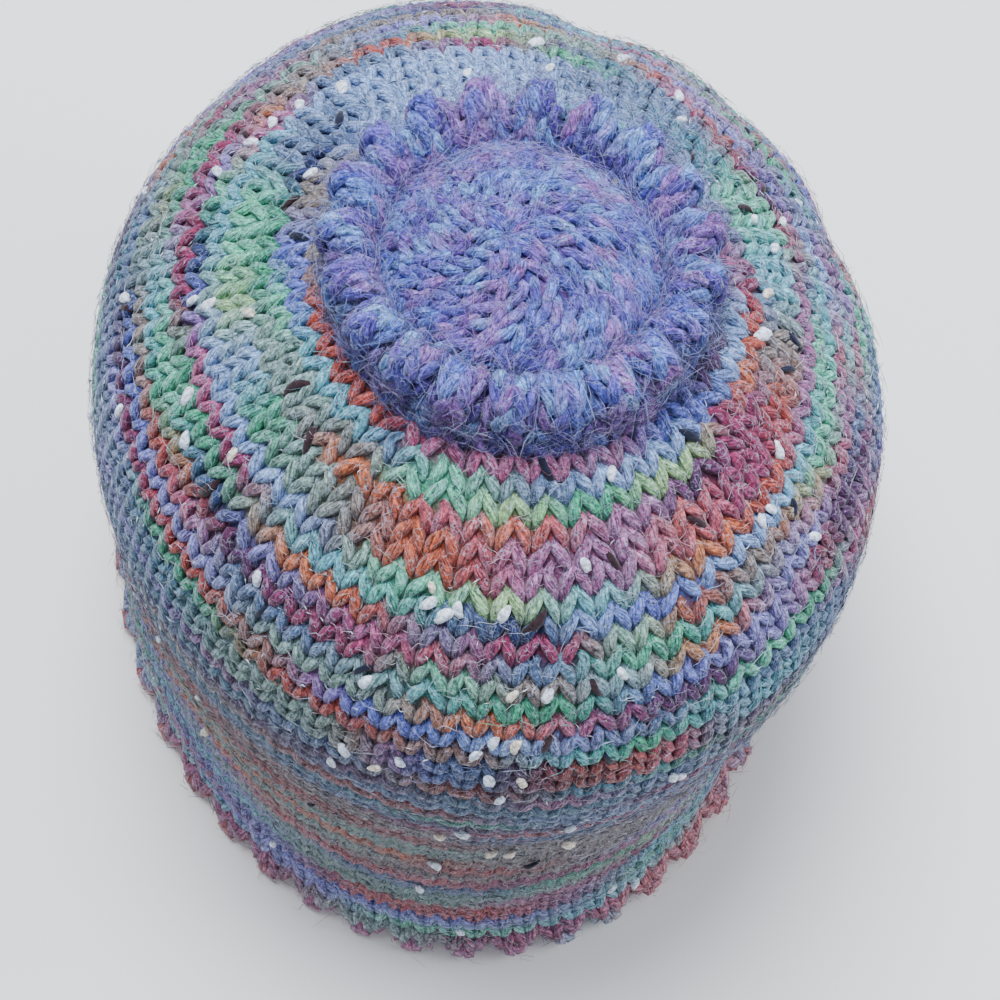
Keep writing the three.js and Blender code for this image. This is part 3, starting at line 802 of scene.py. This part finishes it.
NEPS = {  # spots by kind: line of the chart, step from the back, and size where it isn't 1
    "white": """
        38.3 12.7, 37 3, 37 16.7 1.3, 35.2 12, 35 18.3, 34 5.3, 34.3 15.3 1.1, 34 20.6, 33.4 2.1 1.2,
        33 2.5, 32.8 2.9 1.2, 33 5.2, 33.2 10.1 1.1, 32.9 10.3 1.2, 33.3 10.45, 33.5 11 1.1, 33 14.5,
        33.1 14.7, 33 18.7, 32 3.4, 32 6.3 1.1, 31 6.7, 30 8.3, 30 11.5, 30.4 12.3, 30 15, 29 9.7,
        28 4.9 1.2, 27 6, 27.6 11 1.1, 25.3 11 1.1, 25.2 10.2, 24.4 9.7, 23 9.6, 22.6 12.8, 22.2 12.9,
        19 10.9 1.1, 19.4 11.9, 8.5 10.7, 12 10.8, 4.5 9, 2 11.2, 3 13, 1.5 13.3 1.2, 34 1.5 1.4, 35.5 23.8,
        32.5 22.7 1.3, 31 21.6 1.1, 32 20.8 1.3, 26 3.6, 22 5.6, 18 7.5, 15 6.8""",
    "cream": """
        33 7.2, 27.4 11.2 1.1, 25.2 11.3, 24.2 10, 36 5.6, 14.5 11.3 1.2, 14.3 11.5, 14.6 12.1 1.2, 10 8""",
    "black": """
        39 11.6 1.2, 38 4.3 1.3, 38 14.3 1.5, 35.6 1.9 1.5, 35 16.9 1.3, 29 8.5, 29.3 9.6, 32 15, 26.2 12.1,
        29 20, 12 11.8 1.1, 28.5 20.6 1.3""",
    "brown": """
        37 3.6, 37 7 1.4, 36 7.8 1.3, 35 12.4 1.1, 35 13.7 1.2, 33.2 11.4 1.4, 33 19.2, 32 2.8, 31 7.3 1.7,
        30 12 1.1, 28 5 1.2, 27.5 11.5 1.2""",
}
NEP_COLOURS = {"white": "#DDE2EA", "cream": "#DCD0BC", "black": "#14172A", "brown": "#2E1A1E"}
# Half sizes across the strand, out of it and along it, how deep the middle sits, and how far the ends bend in.
PALE_NEP = {"half": (0.95, 0.75, 1.7), "sunk": 0.35, "droop": 0.04}
DARK_NEP = {"half": (0.62, 0.5, 2.2), "sunk": 0.3, "droop": 0.08}
LOOSE_NEPS = 55


def nep_shell():
    """Corners and triangles of a closed ball, 1 mm in radius and blunter than a sphere."""
    shell = bmesh.new()
    bmesh.ops.create_uvsphere(shell, u_segments=8, v_segments=6, radius=1)
    bmesh.ops.triangulate(shell, faces=shell.faces)
    shell.verts.index_update()
    corners = np.array([corner.co for corner in shell.verts])
    faces = np.array([[corner.index for corner in face.verts] for face in shell.faces])
    shell.free()
    wide = np.hypot(corners[:, 0], corners[:, 1])
    corners[:, :2] *= np.maximum(wide, 0.01)[:, None] ** -0.25
    return corners, faces


ball, ball_faces = nep_shell()

# A bit of chaff that the shearing left in the wool, caught in the valley behind the disc.
way, azimuth = np.full(len(ball), FRILL_STEPS[-1] * 0.93), np.full(len(ball), math.radians(35))
straw = frill_middle(way, azimuth) + outward(frill_middle, way, azimuth) * 1.2 + ball * (2.0, 1.2, 0.9)
straw_mesh = new_piece("caught_straw", straw, ball_faces,
                       fibre_colour=np.tile(to_linear("#A08A6C"), (len(ball), 1)))
dress(straw_mesh, stray_wool("chaff caught in the wool", 0.5, 1200.0), "crown_frill")

corners, faces, colours = [], [], []
placed = [(kind, *map(float, spot.split())) for kind, spots in NEPS.items() for spot in spots.split(",")]
for _ in range(LOOSE_NEPS):
    kind = ("white", "white", "cream", "black", "brown")[dice.integers(0, 5)]
    side = dice.choice((dice.uniform(-9, 1), dice.uniform(17, 23))) if dice.random() < 0.7 else dice.uniform(0, 24)
    placed.append((kind, dice.uniform(3, 37), side, dice.uniform(0.7, 1.0)))
for kind, line, step, *size in placed:
    nep = DARK_NEP if kind in ("black", "brown") else PALE_NEP
    azimuth = np.array([math.radians(step * 15 + 90)])
    way = np.array([(line + 0.5) * WALL_LENGTH / len(CHART)])
    out = outward(outer_wall, way, azimuth, WALL_STEP)[0]
    along = unit(outer_wall(way, azimuth + 0.01) - outer_wall(way, azimuth))[0]
    up = np.cross(out, along)
    lie = dice.choice((-1, 1)) * dice.uniform(0.2, 0.8)
    long_way = up * math.cos(lie) + along * math.sin(lie)
    grow = (size[0] if size else 1.0) * dice.uniform(0.85, 1.15)
    lumps = 1 + 0.08 * np.sin(ball @ dice.uniform(-5, 5, (3, 3))).sum(1, keepdims=True)
    lumps = lumps * (1 + dice.uniform(-0.3, 0.3) * ball[:, 2:])
    shape = ball * lumps * np.array(nep["half"]) * grow
    shape[:, 0] += dice.uniform(-0.08, 0.08) * shape[:, 2] ** 2
    shape[:, 1] -= nep["droop"] * shape[:, 2] ** 2
    turned = shape @ np.stack([np.cross(out, long_way), out, long_way])
    corners.append(outer_wall(way, azimuth) - out * nep["sunk"] + turned)
    faces.append(ball_faces + len(faces) * len(ball))
    colours.append(np.tile(to_linear(NEP_COLOURS[kind]), (len(ball), 1)))
nep_mesh = new_piece("tweed_neps", np.concatenate(corners), np.concatenate(faces),
                     fibre_colour=np.concatenate(colours))
dress(nep_mesh, stray_wool("felted wool neps", 0.5, 1400.0), "body")


# ------------------------------------------------------------
# The loose fibres: both yarns are hairy, and fine fibres stand and lie over the stitches, thickest on the
# crown. They take the colour of the strand they come out of, but paler.

LOOP_POINTS = 14  # points of a strand in each stitch
LEG_POINTS = (2, 3, 4, 5, 9, 10, 11, 12)  # those of its two legs, which show outside
DARK_HAIR, PALE_HAIR = "#20223A", "#DFE2EC"


def loose_fibres(strands, count, lengths, thickness, lift, flecks, bends, pale_most):
    """Closed three-sided hairs that spring from strands: corners, triangles and colours. Lengths and the
    thickness are in millimetres, lift is how steeply they rise, and flecks is the share of dark ones."""
    points, outs, radii, mains = (np.concatenate([s[k] for s in strands])
                                  for k in ("points", "outward", "radius", "main"))
    shown = np.flatnonzero(np.isin(np.arange(len(points)) % LOOP_POINTS, LEG_POINTS))
    pick = dice.choice(shown, count)
    out, root = outs[pick], points[pick]
    aside = unit(np.cross(out, dice.normal(size=(count, 3))))
    across = np.cross(out, aside)
    length = dice.uniform(*lengths, count)[:, None]
    rise = dice.uniform(0.1, lift, count)[:, None] ** 1.2
    start = root + out * radii[pick][:, None] * 0.95
    way = unit(aside + out * rise)
    curl = dice.choice((-1, 1), (count, 1)) * dice.uniform(0.2, 1.1, (count, 1))
    bend = across * curl - aside * np.abs(curl) * 0.4 - out * dice.uniform(0.0, 0.6, (count, 1)) * rise
    t = np.linspace(0, 1, bends + 2)[:, None, None]
    wave = dice.uniform(0, TURN, (count, 1)) + t * TURN
    line = start + length * (way * t + bend * t * t + 0.09 * across * (np.sin(wave) - np.sin(wave[0])))
    round_hair = np.stack([out * np.cos(a) + across * np.sin(a) for a in (0, TURN / 3, 2 * TURN / 3)], 1)
    width = (thickness / 2 * dice.uniform(0.7, 1.3, count))[:, None, None]
    rings = [line[k + 1][:, None] + round_hair * width for k in range(bends)]
    corners = np.concatenate([line[0][:, None], *rings, line[-1][:, None]], 1)
    corners[..., 2] = np.maximum(corners[..., 2], 0.2)
    last = 3 * bends + 1
    one = []
    for k in range(3):
        n = (k + 1) % 3
        one += [(0, 1 + n, 1 + k), (last, last - 3 + k, last - 3 + n)]
        for b in range(1, last - 3, 3):
            one += [(b + k, b + n, b + 3 + n), (b + k, b + 3 + n, b + 3 + k)]
    faces = (np.array(one)[None] + (last + 1) * np.arange(count)[:, None, None]).reshape(-1, 3)
    pale = dice.uniform(0, 1, (count, 1)) ** 1.3 * pale_most
    colour = mains[pick] * (1 - pale) + pale * np.array(to_linear(PALE_HAIR))
    colour = np.where(dice.random((count, 1)) < flecks, np.array(to_linear(DARK_HAIR)), colour)
    return corners.reshape(-1, 3), faces, np.repeat(colour, last + 1, 0)


# Real fibres are 0.03 mm thick, and are drawn 0.08 to 0.15 mm thick so that they show. The flecks are short,
# coarse bits of undyed and black fibre, only on the upper wall.
FIBRES = (  # name, strands, slot, node, then what loose_fibres is given
    ("tweed_short_fibres", wall_rounds + hem_rounds[3:], "striped_tweed_knit", "body",
     17000, (1.2, 3.5), 0.15, 0.6, 0.28, 1, 0.7),
    ("tweed_long_fibres", wall_rounds + hem_rounds[3:], "striped_tweed_knit", "body",
     8000, (3.0, 7.5), 0.12, 0.28, 0.28, 2, 0.7),
    ("pale_tweed_flecks", wall_rounds[16:], "striped_tweed_knit", "body", 420, (1.2, 3.0), 0.26, 0.4, 0, 1, 0),
    ("dark_tweed_flecks", wall_rounds[16:], "striped_tweed_knit", "body", 420, (1.2, 3.0), 0.26, 0.4, 0, 1, 0),
    ("frill_loose_fibres", frill_rounds, "violet_frill_knit", "crown_frill",
     6500, (3.0, 9.0), 0.08, 0.5, 0.25, 3, 0.42),
    ("disc_loose_fibres", disc_rounds, "violet_disc_knit", "crown_disc",
     2600, (3.0, 8.0), 0.08, 0.5, 0.25, 3, 0.42),
)
FLECK_COLOURS = {"pale_tweed_flecks": "#E6EAF0", "dark_tweed_flecks": "#171A2A"}
fibre = stray_wool("loose wool fibre", 0.05)
for name, strands, slot, node, *settings in FIBRES:
    corners, faces, colours = loose_fibres(strands, *settings)
    if name in FLECK_COLOURS:
        colours[:] = to_linear(FLECK_COLOURS[name])
    dress(new_piece(name, corners, faces, fibre_colour=colours), fibre, node)
